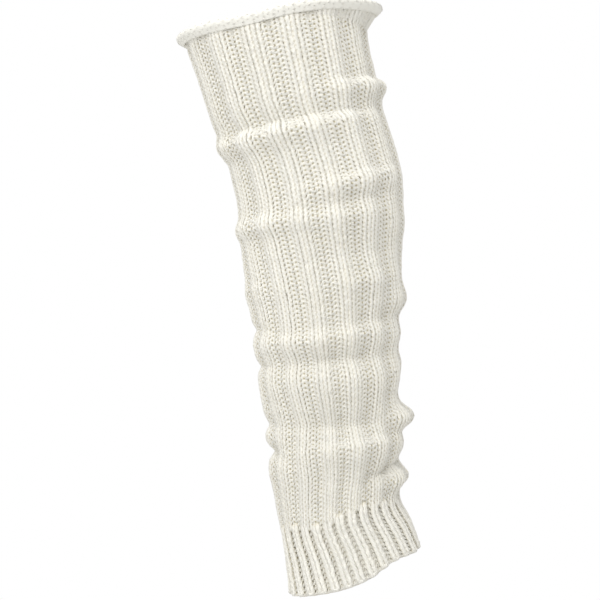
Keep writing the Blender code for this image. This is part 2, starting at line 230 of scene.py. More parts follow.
@dataclass(frozen=True)
class Leg:
    """The worn form of the cloth, from the hem up to the top edge.

    Each section is an ellipse in its own tilted plane, and the slouch folds move it in and out.
    """

    sections: tuple[Section, ...] = SECTIONS
    folds: tuple[Fold, ...] = FOLDS
    top_waves: tuple[Wave, ...] = TOP_WAVES
    hem_waves: tuple[Wave, ...] = HEM_WAVES
    wave_reach: float = 26.0
    inset: float = 3.1  # from the tops of the ribs to the middle of the cloth

    @property
    def top(self) -> float:
        """Height of the section at the top edge."""
        return self.sections[0].height

    @property
    def hem(self) -> float:
        """Height of the section at the hem."""
        return self.sections[-1].height

    def column(self, name: str, height: Floats) -> Floats:
        """One column of the sections at any height, on a smooth curve through its rows.

        The curve is a cubic between each two rows, with the slope at a row taken from its neighbours.

        Args:
            name: a field of Section.
            height: the heights of the sections wanted.

        Returns:
            The column's values there.
        """
        rows = self.sections[::-1]
        heights = np.array([row.height for row in rows])
        values = np.array([getattr(row, name) for row in rows])
        slopes = np.gradient(values, heights)
        height = np.clip(height, heights[0], heights[-1])
        low = np.clip(np.searchsorted(heights, height) - 1, 0, len(rows) - 2)
        step = heights[low + 1] - heights[low]
        t = (height - heights[low]) / step
        return (
            values[low] * (1 + 2 * t) * (1 - t) ** 2
            + values[low + 1] * t * t * (3 - 2 * t)
            + slopes[low] * step * t * (1 - t) ** 2
            - slopes[low + 1] * step * t * t * (1 - t)
        )

    @staticmethod
    def share(facing: Floats, item: Fold | Wave) -> tuple[Floats, Floats]:
        """A squared cosine over a fold's or wave's span.

        Args:
            facing: degrees from the front towards the toes.
            item: the fold or wave.

        Returns:
            The squared cosine, and the degrees from the middle of the span.
        """
        away = (facing - item.facing + 180.0) % 360.0 - 180.0
        inside = np.cos(np.pi / 2 * np.clip(away / item.span, -1.0, 1.0)) ** 2
        return inside, away

    def lift(self, facing: Floats, height: Floats) -> Floats:
        """How far the waves of the top edge and the hem raise the cloth, dying away from the edge.

        Args:
            facing: degrees from the front towards the toes.
            height: height of the section's middle.

        Returns:
            The lift along the section's normal.
        """
        total = np.zeros(np.broadcast(facing, height).shape)
        for edge, waves in ((self.top, self.top_waves), (self.hem, self.hem_waves)):
            near = eased(1 - abs(height - edge) / self.wave_reach)
            for wave in waves:
                total += wave.lift * self.share(facing, wave)[0] * near
        return total

    def rise(self, facing: Floats, height: Floats) -> Floats:
        """How far the folds move the cloth out: each is a bell across, faded along its span.

        Args:
            facing: degrees from the front towards the toes.
            height: height of the section's middle.

        Returns:
            The sum of all the folds there.
        """
        total = np.zeros(np.broadcast(facing, height).shape)
        for fold in self.folds:
            inside, away = self.share(facing, fold)
            gap = height - fold.height - fold.slant * away / 90.0
            reach = np.where(gap > 0, fold.above, fold.below)
            total += fold.rise * inside * np.exp(-((gap / reach) ** 2))
        return total

    def axes(self, facing: Floats, height: Floats) -> tuple[Floats, Floats]:
        """The directions of a section's plane, which leans by its tilt and pitch.

        Args:
            facing: degrees from the front towards the toes.
            height: height of the section's middle.

        Returns:
            The way out of the leg in the plane, and the plane's own normal.
        """
        tilt = np.radians(self.column("tilt", height))
        pitch = np.radians(self.column("pitch", height))
        side, back = np.sin(np.radians(facing)), -np.cos(np.radians(facing))
        up = side * np.sin(tilt) - back * np.sin(pitch)
        outward = np.stack([side * np.cos(tilt), back * np.cos(pitch), up], -1)
        across, towards = -np.sin(tilt) * np.cos(pitch), np.cos(tilt) * np.sin(pitch)
        normal = np.stack([across, towards, np.cos(tilt) * np.cos(pitch)], -1)
        return outward, normal

    def cloth(self, facing: Floats, height: Floats) -> Floats:
        """Points of the middle of the cloth.

        The reach from the section's middle is the ellipse's radius in that direction, plus the folds,
        less the inset. The edge waves move the point along the section's normal.

        Args:
            facing: degrees from the front towards the toes.
            height: height of the section's middle.

        Returns:
            Points, with the last axis x, y and z.
        """
        facing, height = np.broadcast_arrays(facing, height)
        width, depth = self.column("half_width", height), self.column("half_depth", height)
        turn = np.radians(facing)
        reach = width * depth / np.hypot(depth * np.sin(turn), width * np.cos(turn))
        reach = reach + self.rise(facing, height) - self.inset
        middle = np.stack([self.column("across", height), np.zeros_like(height), height], -1)
        outward, normal = self.axes(facing, height)
        return middle + reach[..., None] * outward + self.lift(facing, height)[..., None] * normal


@dataclass(frozen=True)
class Rim:
    """The rolled edge: above the leg the cloth bends out, runs straight, curls over and tucks in."""

    front_lean: float = 7.0  # degrees that the straight flare leans out, at the front and the back
    side_lean: float = 38.0
    bend: float = 3.2  # length over which the cloth bends into the flare
    radius: float = 1.4  # of the curl
    front_turn: float = 199.0  # degrees that it curls through
    side_turn: float = 197.0
    tail: float = 4.6  # straight length after the curl
    flare_back: float = 7.2
    flare_toes: float = 17.5
    flare_front: float = 3.4

    def flare(self, facing: Floats) -> Floats:
        """Length of the straight flare: the front's, and the rest of the side's by the squared sine.

        Args:
            facing: degrees from the front towards the toes.

        Returns:
            The flare's length, which is longest towards the toes.
        """
        toes = np.sin(np.radians(facing))
        side = np.where(toes > 0, self.flare_toes, self.flare_back)
        return self.flare_front + (side - self.flare_front) * toes**2

    def angles(self, facing: Floats) -> tuple[Floats, Floats]:
        """The flare's lean and the curl's turn, from the front's to the sides' by the squared sine.

        Args:
            facing: degrees from the front towards the toes.

        Returns:
            The flare's angle from upright and the curl's turn, in radians.
        """
        side = np.sin(np.radians(facing)) ** 2
        lean = self.front_lean + (self.side_lean - self.front_lean) * side
        turn = self.front_turn + (self.side_turn - self.front_turn) * side
        return np.radians(lean), np.radians(turn)

    def length(self, facing: Floats) -> Floats:
        """Length of the whole edge, from the leg's top to the end of the tail."""
        return self.bend + self.flare(facing) + self.radius * self.angles(facing)[1] + self.tail

    def line(self, facing: Floats, along: Floats) -> tuple[Floats, Floats]:
        """The edge's middle line in one upright plane.

        The angle from upright grows evenly over the bend, stays for the flare, grows evenly round the
        curl and stays for the tail. Out and up are the sums of its sine and cosine, each stretch in
        closed form.

        Args:
            facing: degrees from the front towards the toes.
            along: length along the line from the leg's top.

        Returns:
            How far out and up the line is there.
        """
        (lean, turn), flare = self.angles(facing), self.flare(facing)
        bent = np.clip(along / self.bend, 0.0, 1.0) * lean
        arc = self.bend / lean
        straight = np.clip(along - self.bend, 0.0, flare)
        curled = lean + np.clip((along - self.bend - flare) / self.radius, 0.0, turn)
        tail = np.maximum(along - self.length(facing) + self.tail, 0.0)
        out = arc * (1 - np.cos(bent)) + straight * np.sin(lean) + tail * np.sin(lean + turn)
        up = arc * np.sin(bent) + straight * np.cos(lean) + tail * np.cos(lean + turn)
        out = out + self.radius * (np.cos(lean) - np.cos(curled))
        up = up + self.radius * (np.sin(curled) - np.sin(lean))
        return out, up


@dataclass
class ClothMap:
    """Where every stitch lies: points of the cloth's middle by wale and course, and the way out there.

    Courses are evenly spaced along each wale of a stretch. The map is a table of points that place()
    reads between.
    """

    leg: Leg = field(default_factory=Leg)
    rim: Rim = field(default_factory=Rim)
    cuff_courses: int = 14
    tube_courses: int = 112
    roll_courses: int = 7
    columns_per_wale: int = 4
    rows_per_course: int = 5
    spare_courses: int = 2  # the table runs on past both edges
    edge_room: float = 0.42  # of a course
    end_room: float = 1.001  # rows kept back from the table's end, so that a next row is there
    height_step: float = 0.5
    points: Floats = field(init=False)
    normals: Floats = field(init=False)

    def __post_init__(self) -> None:
        """Works out the table of points and normals."""
        wale = np.arange(WALES * self.columns_per_wale) / self.columns_per_wale
        self.points = np.concatenate([self._leg_rows(wale), self._rim_rows(wale)], axis=1)
        self.points = self._run_on(self.points)
        around = np.roll(self.points, -1, 0) - np.roll(self.points, 1, 0)
        self.normals = unit(np.cross(around, np.gradient(self.points, axis=1)))

    @property
    def tube_start(self) -> int:
        """First course of the leg tube."""
        return self.cuff_courses

    @property
    def roll_start(self) -> int:
        """First course of the rolled edge."""
        return self.cuff_courses + self.tube_courses

    def facing(self, wale: Floats, height: Floats) -> Floats:
        """Direction of a wale at a height: the first rib's middle lies between its two knit wales."""
        return FIRST_RIB + (wale - 1.0) * 360.0 / WALES + self.leg.column("turn", height)

    def _shares(self, courses: int) -> Floats:
        """How far each row of a stretch lies along it, from 0 up to just short of 1."""
        return np.arange(courses * self.rows_per_course) / (courses * self.rows_per_course)

    def _leg_rows(self, wale: Floats) -> Floats:
        """Rows of points from the hem to the top edge, evenly spaced along each wale in each stretch.

        Args:
            wale: the wales wanted.

        Returns:
            Points by wale and row.
        """
        count = int(round((self.leg.top - self.leg.hem) / self.height_step))
        heights = np.linspace(self.leg.hem, self.leg.top, count + 1)
        dense = self.leg.cloth(self.facing(wale[:, None], heights), heights[None, :])
        steps = np.linalg.norm(np.diff(dense, axis=1), axis=2)
        along = np.concatenate([np.zeros((len(wale), 1)), np.cumsum(steps, axis=1)], axis=1)
        cuff_top = np.full_like(wale, CUFF_HEIGHT)
        for wave in CUFF_WAVES:
            cuff_top += wave.lift * self.leg.share(self.facing(wale, cuff_top), wave)[0]
        cuff_share, tube_share = self._shares(self.cuff_courses), self._shares(self.tube_courses)
        rows = []
        for lengths, line, top in zip(along, dense, cuff_top):
            split, whole = np.interp(top, heights, lengths), lengths[-1]
            wanted = np.concatenate([cuff_share * split, split + tube_share * (whole - split)])
            rows.append(np.stack([np.interp(wanted, lengths, line[:, axis]) for axis in range(3)], -1))
        return np.array(rows)

    def _rim_rows(self, wale: Floats) -> Floats:
        """Rows of points up over the rolled edge, from the leg's top to the end of its tail.

        Args:
            wale: the wales wanted.

        Returns:
            Points by wale and row.
        """
        facing = self.facing(wale, self.leg.top)[:, None]
        share = np.linspace(0, 1, self.roll_courses * self.rows_per_course + 1)
        out, up = self.rim.line(facing, share * self.rim.length(facing))
        base = self.leg.cloth(facing, np.full(facing.shape, self.leg.top))
        outward, normal = self.leg.axes(facing, np.full(facing.shape, self.leg.top))
        return base + out[..., None] * outward + up[..., None] * normal

    def _run_on(self, rows: Floats) -> Floats:
        """Adds straight rows to the table, each one step on from its first row or its last.

        Args:
            rows: points by wale and row.

        Returns:
            The longer table.
        """
        count = np.arange(1, self.spare_courses * self.rows_per_course + 1)[None, :, None]
        before = rows[:, :1] - count[:, ::-1] * (rows[:, 1:2] - rows[:, :1])
        after = rows[:, -1:] + count * (rows[:, -1:] - rows[:, -2:-1])
        return np.concatenate([before, rows, after], axis=1)

    def within_edges(self, course: Floats) -> Floats:
        """Courses held off both edges by edge_room, so that the edge yarn ends where the solid does."""
        return np.clip(course, self.edge_room, self.roll_start + self.roll_courses - self.edge_room)

    def place(self, wale: Floats, course: Floats) -> tuple[Floats, Floats]:
        """Reads the table between its points.

        The value is the mean of the four points round the place, each weighted by how near it is.

        Args:
            wale: wales from the first, as real numbers.
            course: courses up from the hem, as real numbers.

        Returns:
            Points of the cloth's middle and the way out at each.
        """
        column = (wale * self.columns_per_wale) % len(self.points)
        row = (course + self.spare_courses) * self.rows_per_course
        row = np.clip(row, 0, self.points.shape[1] - self.end_room)
        left, low = column.astype(int), row.astype(int)
        right = (left + 1) % len(self.points)
        s, t = (column - left)[..., None], (row - low)[..., None]
        found = [
            (1 - s) * ((1 - t) * table[left, low] + t * table[left, low + 1])
            + s * ((1 - t) * table[right, low] + t * table[right, low + 1])
            for table in (self.points, self.normals)
        ]
        return found[0], unit(found[1])


class Fabric(Enum):
    """The three knitted fabrics, by how knit and purl wales follow each other."""

    PLAIN = "plain"
    WIDE_RIB = "two by two rib"
    NARROW_RIB = "one by one rib"

    def rib_wave(self, wale: Floats) -> Floats:
        """A cosine round the leg, 1 at the middle of the knit wales and -1 at the middle of the purl."""
        wide = self is Fabric.WIDE_RIB
        return np.cos(np.pi / 2 * (wale - 1.0)) if wide else np.cos(np.pi * (wale - 0.5))

    def knit_share(self, wale: Floats) -> Floats:
        """1 on a knit wale and -1 on a purl wale: the hyperbolic tangent of the rib's steepened cosine.

        Args:
            wale: wales from the first.

        Returns:
            The share at each, which is 1 all over in plain knit.
        """
        if self is Fabric.PLAIN:
            return np.ones_like(wale)
        return np.tanh(KNIT_EDGE * self.rib_wave(wale)) / math.tanh(KNIT_EDGE)

    def gathered(self, wale: Floats) -> Floats:
        """Wales moved round the leg: in narrow rib the knit wales spread over the purl ones."""
        gather = NARROW_GATHER if self is Fabric.NARROW_RIB else 0.0
        return wale + gather * np.sin(np.pi * (wale - 0.5))

    def relief(self, wale: Floats) -> Floats:
        """How the ribs stand up: the sine of a quarter turn times the rib's cosine, which rounds it.

        Args:
            wale: wales from the first.

        Returns:
            Height of the yarn's middle over the cloth's middle, which is 0 all over in plain knit.
        """
        if self is Fabric.PLAIN:
            return np.zeros_like(wale)
        middle, half = WIDE_RELIEF if self is Fabric.WIDE_RIB else NARROW_RELIEF
        return middle + half * np.sin(np.pi / 2 * self.rib_wave(wale))


class CastOff(Enum):
    """Where a stretch ends in an edge."""

    NONE = "joined at both ends"
    HEM = "at its foot"
    TOP = "at its head"


@dataclass(frozen=True)
class Stitch:
    """One loop of yarn, and how unevenly it is knitted."""

    yarn: float = 2.5  # diameter
    purl_yarn: float = 2.35  # where it lies as a purl stitch, drawn tighter
    leg_share: float = 0.6  # of a wale: the width that a leg spreads to, side by side with the next
    knit_lean: float = 0.13  # of a wale: how far the legs bow, which sets a knit stitch's V
    purl_lean: float = 0.07  # and how wide the arcs of a purl stitch are
    reach: float = 3.85  # half its height
    depth: float = 1.1  # from its middle to its front and back
    knit_hold: float = 2.0  # how long a knit stitch's legs stay in front, as a power
    purl_hold: float = 6.0  # and a purl stitch's head and feet
    course: float = 3.1  # height that each course adds
    purl_gap_shade: float = 1.0  # how much of the painted shade of the gaps between loops shows
    knit_gap_shade: float = 0.45
    top_lit_fade: tuple[float, float] = (0.25, 0.7)  # how far up the cloth faces where the painted shade of the gaps fades out: painted light from above
    segments: int = 12
    sides: int = 5
    uneven_side: float = 0.03  # of a wale
    uneven_height: float = 0.16
    uneven_depth: float = 0.12
    uneven_limit: float = 2.0  # times those three, at the most

    def phase(self) -> Floats:
        """The loop's own angle at each segment, from one foot over the head to the next foot."""
        return 2 * np.pi * np.arange(self.segments) / self.segments


class Line(NamedTuple):
    """The middle of one ring of yarn.

    normals is the cloth's way out at each point, over the yarn's height over the thin cloth, room the
    width of a wale there and yarn the yarn's thickness, in millimetres. wale and level are the place in
    the cloth, in wales and courses, and gap_shade is how much of the painted shade of the gaps shows
    there.
    """

    points: Floats
    normals: Floats
    over: Floats
    room: Floats
    yarn: Floats
    wale: Floats
    level: Floats
    gap_shade: Floats


class MeshData(NamedTuple):
    """Points and quads, and what the finish reads.

    uv and place are for each corner: the place on the yarn, and the place in the cloth by wale and
    course. proud and gap_shade are for each point: how proud it stands, and how much of the painted
    shade of the gaps between loops shows. On the thin cloth, proud is 0 on its outer face and 1 on its
    inner face.
    """

    points: Floats
    quads: NDArray[np.int64]
    uv: Floats
    place: Floats
    proud: Floats
    gap_shade: Floats


def grid_quads(rows: int, around: int, first: int) -> NDArray[np.int64]:
    """Quads over a grid that closes on itself both ways, such as a ring of yarn.

    Args:
        rows: points along the ring.
        around: points round the yarn.
        first: index of the grid's first point.

    Returns:
        Four indices for each quad, turned so that they face outwards.
    """
    row, side = np.meshgrid(np.arange(rows), np.arange(around), indexing="ij")
    after, beside = (row + 1) % rows, (side + 1) % around
    near, far = row * around, after * around
    return first + np.stack([near + side, near + beside, far + beside, far + side], -1).reshape(-1, 4)


def grid_corners(values: Floats) -> Floats:
    """Values for the corners of grid_quads, from a grid with one more row and column than points."""
    corners = [values[:-1, :-1], values[:-1, 1:], values[1:, 1:], values[1:, :-1]]
    return np.stack(corners, axis=2).reshape(-1, values.shape[-1])


def add_mesh(name: str, data: MeshData, material: bpy.types.Material) -> bpy.types.Object:
    """Puts whole arrays into a new smooth mesh object at the origin.

    Args:
        name: the piece's name.
        data: its points in millimetres, its quads, and what its finish reads.
        material: its finish.

    Returns:
        The object, linked to the scene.
    """
    mesh = bpy.data.meshes.new(name)
    mesh.vertices.add(len(data.points))
    mesh.vertices.foreach_set("co", (data.points * MM).astype(np.float32).ravel())
    mesh.loops.add(data.quads.size)
    mesh.loops.foreach_set("vertex_index", data.quads.astype(np.int32).ravel())
    mesh.polygons.add(len(data.quads))
    mesh.polygons.foreach_set("loop_start", np.arange(0, data.quads.size, 4, dtype=np.int32))
    mesh.update(calc_edges=True)
    for layer in ("uv", "place"):
        corners = getattr(data, layer).astype(np.float32).ravel()
        mesh.uv_layers.new(name=layer).data.foreach_set("uv", corners)
    for layer in ("proud", "gap_shade"):
        values = getattr(data, layer).astype(np.float32)
        mesh.attributes.new(layer, "FLOAT", "POINT").data.foreach_set("value", values)
    mesh.shade_smooth()
    mesh.materials.append(material)
    piece = bpy.data.objects.new(name, mesh)
    bpy.context.scene.collection.objects.link(piece)
    return piece


@dataclass
class KnitStretch:
    """One fabric of the leg warmer: its rings of looped yarn, and the thin cloth amid them."""

    name: str
    node: str
    slot: str
    fabric: Fabric
    first: int
    courses: int
    flat: tuple[float, float]  # width and length of the stretch laid open, in metres
    pieces: int = 1
    rib_courses: int = 0  # first courses that still follow the wide rib below
    cast_off: CastOff = CastOff.NONE
    cast_off_height: float = 1.0  # over the cloth's middle
    cast_off_wave: float = 0.5  # out and in with the loops
    cast_off_sway: float = 0.15  # of a course, up and down with them
    stitch: Stitch = field(default_factory=Stitch)
    backing_columns: int = 84
    backing_rows: int = 1  # for each course
    backing_depth: float = 0.2  # below the middle of the yarn
    backing_wall: float = 0.6

    def fabric_of(self, course: int) -> Fabric:
        """The fabric of one course of the stretch."""
        return Fabric.WIDE_RIB if course - self.first < self.rib_courses else self.fabric

    def centre_line(self, cloth: ClothMap, course: int, noise: np.random.Generator) -> Line:
        """The middle of one course's yarn, a closed ring of loops.

        Over one wale the loop's angle t runs a full turn. Across, the yarn moves evenly plus lean times
        the sine of 2t, which narrows each loop at its foot. Up, it moves by less reach times the cosine
        of t. Out, it moves by less depth times the cosine of 2t, so a knit wale has its legs in front,
        and a purl wale, where the sign turns, its head and feet. The part in front is the longer: one
        less twice a power, hold, of half the way back from the front.

        Args:
            cloth: the map of the cloth.
            course: the course's number from the hem.
            noise: seeded numbers for the unevenness.

        Returns:
            The ring's middle line.
        """
        stitch, fabric = self.stitch, self.fabric_of(course)
        t = np.tile(stitch.phase(), WALES)
        head, foot = np.sin(t / 2) ** 2, np.cos(t / 2) ** 2
        wale_of = np.repeat(np.arange(WALES), stitch.segments)
        nearest = np.where(t < np.pi, wale_of, wale_of + 1) % WALES
        heads, feet = noise.standard_normal((3, WALES)), noise.standard_normal((3, WALES))
        uneven, limit = heads[:, wale_of] * head + feet[:, nearest] * foot, stitch.uneven_limit
        side, height, depth = np.clip(uneven, -limit, limit)
        even = wale_of + t / (2 * np.pi)
        knit = (1 + fabric.knit_share(even)) / 2
        lean = stitch.purl_lean + (stitch.knit_lean - stitch.purl_lean) * knit
        wale = even + lean * np.sin(2 * t) + stitch.uneven_side * side
        rise = -stitch.reach * np.cos(t) + stitch.uneven_height * height
        back = (1 + fabric.knit_share(wale) * np.cos(2 * t)) / 2
        hold = stitch.purl_hold + (stitch.knit_hold - stitch.purl_hold) * knit
        over = stitch.depth * (1 - 2 * back**hold) + stitch.uneven_depth * depth
        out = over + fabric.relief(wale)
        level = cloth.within_edges(course + 0.5 + rise / stitch.course)
        points, normals = cloth.place(fabric.gathered(wale), level)
        yarn = stitch.purl_yarn + (stitch.yarn - stitch.purl_yarn) * knit
        # painted light: the painted shade of the gaps fades out where the cloth faces up, as if lit from
        # above
        facing_up = (normals[:, 2] - stitch.top_lit_fade[0]) / (stitch.top_lit_fade[1] - stitch.top_lit_fade[0])
        gap_shade = stitch.purl_gap_shade + (stitch.knit_gap_shade - stitch.purl_gap_shade) * knit
        gap_shade = gap_shade * (1 - eased(facing_up))
        points = points + out[:, None] * normals
        return Line(points, normals, over, self.room(cloth, even, level), yarn, wale, level, gap_shade)

    def room(self, cloth: ClothMap, wale: Floats, level: Floats) -> Floats:
        """Width of a wale at each place: the distance between points half a wale to each side."""
        left, right = (cloth.place(self.fabric.gathered(wale + step), level)[0] for step in (-0.5, 0.5))
        return np.linalg.norm(right - left, axis=-1)

    def edge_line(self, cloth: ClothMap, course: float) -> Line:
        """The cast-off edge: one ring of yarn along it, which waves with the loops and over the ribs.

        Out and up, it moves by cosines that run one turn over each wale.

        Args:
            cloth: the map of the cloth.
            course: where the edge lies, in courses from the hem.

        Returns:
            The ring's middle line.
        """
        t = np.tile(self.stitch.phase(), WALES)
        wale = np.arange(len(t)) / self.stitch.segments
        over = self.cast_off_height - self.cast_off_wave * np.cos(t)
        out = over + self.fabric.relief(wale)
        level = cloth.within_edges(course + self.cast_off_sway * np.cos(t))
        points, normals = cloth.place(self.fabric.gathered(wale), level)
        yarn, gap_shade = np.full_like(wale, self.stitch.yarn), np.zeros_like(wale)
        points = points + out[:, None] * normals
        return Line(points, normals, over, self.room(cloth, wale, level), yarn, wale, level, gap_shade)

    def ring(self, line: Line, first: int) -> MeshData:
        """A closed tube of yarn about a closed line.

        Each cross-section is a polygon square to the line, with its first corner out of the cloth. It is
        round where the yarn runs across, and where it runs along a wale it widens to the leg's share.

        Args:
            line: the yarn's middle.
            first: index of the ring's first point in the piece.

        Returns:
            The ring's mesh.
        """
        sides = self.stitch.sides
        tangent = unit(np.roll(line.points, -1, 0) - np.roll(line.points, 1, 0))
        front = unit(line.normals - np.sum(line.normals * tangent, -1, keepdims=True) * tangent)
        beside = np.cross(tangent, front)
        angle = 2 * np.pi * np.arange(sides) / sides
        along_wale = np.sum(beside * unit(np.cross(line.normals, [0.0, 0.0, 1.0])), -1) ** 2
        wide = line.yarn + (self.stitch.leg_share * line.room - line.yarn) * along_wale
        spokes = (line.yarn / 2)[:, None, None] * np.cos(angle)[None, :, None] * front[:, None]
        spokes = spokes + (wide / 2)[:, None, None] * np.sin(angle)[None, :, None] * beside[:, None]
        points = line.points[:, None] + spokes
        quads = grid_quads(len(points), sides, first)
        along, round_it = np.meshgrid(np.arange(len(points) + 1), np.arange(sides + 1), indexing="ij")
        uv = np.stack([along / self.stitch.segments, round_it / sides], -1)
        across = unit(np.cross([0.0, 0.0, 1.0], line.normals))
        up = np.cross(line.normals, across)
        aside = np.sum(spokes * across[:, None], -1) / line.room[:, None]
        above = np.sum(spokes * up[:, None], -1) / self.stitch.course
        place = np.stack([line.wale[:, None] + aside, line.level[:, None] + above], -1)
        place = np.concatenate([place, place[:1] + [WALES, 0.0]])
        place = np.concatenate([place, place[:, :1]], axis=1)
        proud = np.abs(line.over[:, None] + np.sum(spokes * line.normals[:, None], -1))
        gap_shade = np.repeat(line.gap_shade, sides)
        return MeshData(
            points.reshape(-1, 3), quads, grid_corners(uv), grid_corners(place), proud.ravel(), gap_shade
        )

    def knit(self, cloth: ClothMap, finish: bpy.types.Material) -> list[bpy.types.Object]:
        """Every course of the stretch, as a few pieces of joined rings.

        Args:
            cloth: the map of the cloth.
            finish: the yarn's material.

        Returns:
            The pieces, from the hem up.
        """
        noise = np.random.default_rng(self.first + 1)
        lines = [self.centre_line(cloth, self.first + number, noise) for number in range(self.courses)]
        if self.cast_off is CastOff.HEM:
            lines.insert(0, self.edge_line(cloth, self.first))
        if self.cast_off is CastOff.TOP:
            lines.append(self.edge_line(cloth, self.first + self.courses))
        made = []
        for number, group in enumerate(np.array_split(np.arange(len(lines)), self.pieces)):
            size = len(lines[0].points) * self.stitch.sides
            rings = [self.ring(lines[index], place * size) for place, index in enumerate(group)]
            data = MeshData(*(np.concatenate(parts) for parts in zip(*rings)))
            name = f"{self.name}_yarn" if self.pieces == 1 else f"{self.name}_yarn_{number + 1}"
            made.append(add_mesh(name, data, finish))
        return made

    def backing(self, cloth: ClothMap, finish: bpy.types.Material) -> bpy.types.Object:
        """The thin closed cloth amid the loops, a sheet of painted shade in the gaps between them, paler
        on its inner face.

        Each column is a line down its outer face and up its inner face, half its wall out and in from
        its middle, and the columns close round the leg.

        Args:
            cloth: the map of the cloth.
            finish: its material.

        Returns:
            The piece.
        """
        wale = np.linspace(0, WALES, self.backing_columns, endpoint=False)[:, None]
        rows = self.courses * self.backing_rows + 1
        course = np.linspace(self.first, self.first + self.courses, rows)[None, :]
        wale, course = np.broadcast_arrays(wale, course)
        points, normals = cloth.place(self.fabric.gathered(wale), course)
        out = (self.fabric.relief(wale) - self.backing_depth)[..., None]
        half = self.backing_wall / 2
        outer, inner = points + (out + half) * normals, points + (out - half) * normals
        both = np.concatenate([outer[:, ::-1], inner], axis=1)
        quads = grid_quads(self.backing_columns, both.shape[1], 0)
        inner_face = np.zeros(both.shape[:2])
        inner_face[:, rows:] = 1.0
        plain, none = np.zeros((quads.size, 2)), np.zeros(inner_face.size)
        data = MeshData(both.reshape(-1, 3), quads, plain, plain, inner_face.ravel(), none)
        return add_mesh(f"{self.name}_cloth", data, finish)

    def build(self, cloth: ClothMap, yarn: bpy.types.Material, between: bpy.types.Material) -> None:
        """Makes the stretch's pieces, joins them to the body and hides the solid that they stand for.

        Args:
            cloth: the map of the cloth.
            yarn: the finish of the yarn.
            between: the finish of the thin cloth between the loops, its painted shade.
        """
        rings = self.knit(cloth, yarn)
        sheet = self.backing(cloth, between)
        for piece in (*rings, sheet):
            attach(piece, BODY)
            log.info("%s: %d faces", piece.name, len(piece.data.polygons))
        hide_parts(self.node)


@dataclass
class Nodes:
    """A material's node tree, with short ways to add nodes and join them."""

    tree: bpy.types.NodeTree

    @classmethod
    def of_material(cls, name: str) -> tuple[bpy.types.Material, "Nodes"]:
        """A new material with only the shader and the output in it.

        Args:
            name: the material's name.

        Returns:
            The material and its nodes.
        """
        material = bpy.data.materials.new(name)
        material.use_nodes = True
        return material, cls(material.node_tree)

    def add(self, kind: str, inputs: dict[str | int, object], **settings: object) -> bpy.types.Node:
        """Adds a node.

        Args:
            kind: the node's type, without its ShaderNode prefix.
            inputs: for each input's name or number, a socket to join or a value to set.
            settings: the node's own settings.

        Returns:
            The node.
        """
        node = self.tree.nodes.new(f"ShaderNode{kind}")
        for name, value in settings.items():
            setattr(node, name, value)
        for key, value in inputs.items():
            if isinstance(value, bpy.types.NodeSocket):
                self.tree.links.new(value, node.inputs[key])
            else:
                node.inputs[key].default_value = value
        return node

    def math(self, operation: str, first: object, second: object = 0.0) -> bpy.types.NodeSocket:
        """The result of one Math node."""
        return self.add("Math", {0: first, 1: second}, operation=operation).outputs[0]

    def mix(self, share: object, low: object, high: object) -> bpy.types.NodeSocket:
        """Two colours mixed by a share. The node's sockets 6, 7 and 2 are its colour ones."""
        inputs = {"Factor": share, 6: low, 7: high}
        return self.add("Mix", inputs, data_type="RGBA").outputs[2]

    def noise(self, place: bpy.types.NodeSocket, scale: float, detail: float) -> bpy.types.NodeSocket:
        """Soft noise at a place."""
        return self.add("TexNoise", {"Vector": place, "Scale": scale, "Detail": detail}).outputs[0]

    def smooth(self, value: bpy.types.NodeSocket, low: float, high: float) -> bpy.types.NodeSocket:
        """A smooth step from 0 at the low value to 1 at the high one."""
        ends = {"Value": value, "From Min": low, "From Max": high}
        return self.add("MapRange", ends, interpolation_type="SMOOTHSTEP").outputs[0]

    def attribute(self, name: str) -> bpy.types.NodeSocket:
        """A number that the mesh carries at each point."""
        return self.add("Attribute", {}, attribute_name=name).outputs["Fac"]

    def shader(self) -> bpy.types.Node:
        """The material's Principled shader."""
        return self.tree.nodes["Principled BSDF"]

    def dress(
        self,
        colour: bpy.types.NodeSocket,
        normal: bpy.types.NodeSocket,
        roughness: float,
        specular: float,
    ) -> None:
        """Joins a colour and a normal to the shader, and sets how matt it is.

        Args:
            colour: the colour's socket.
            normal: the normal's socket.
            roughness: the shader's roughness.
            specular: its specular level.
        """
        shader = self.shader()
        self.tree.links.new(colour, shader.inputs["Base Color"])
        self.tree.links.new(normal, shader.inputs["Normal"])
        shader.inputs["Roughness"].default_value = roughness
        shader.inputs["Specular IOR Level"].default_value = specular


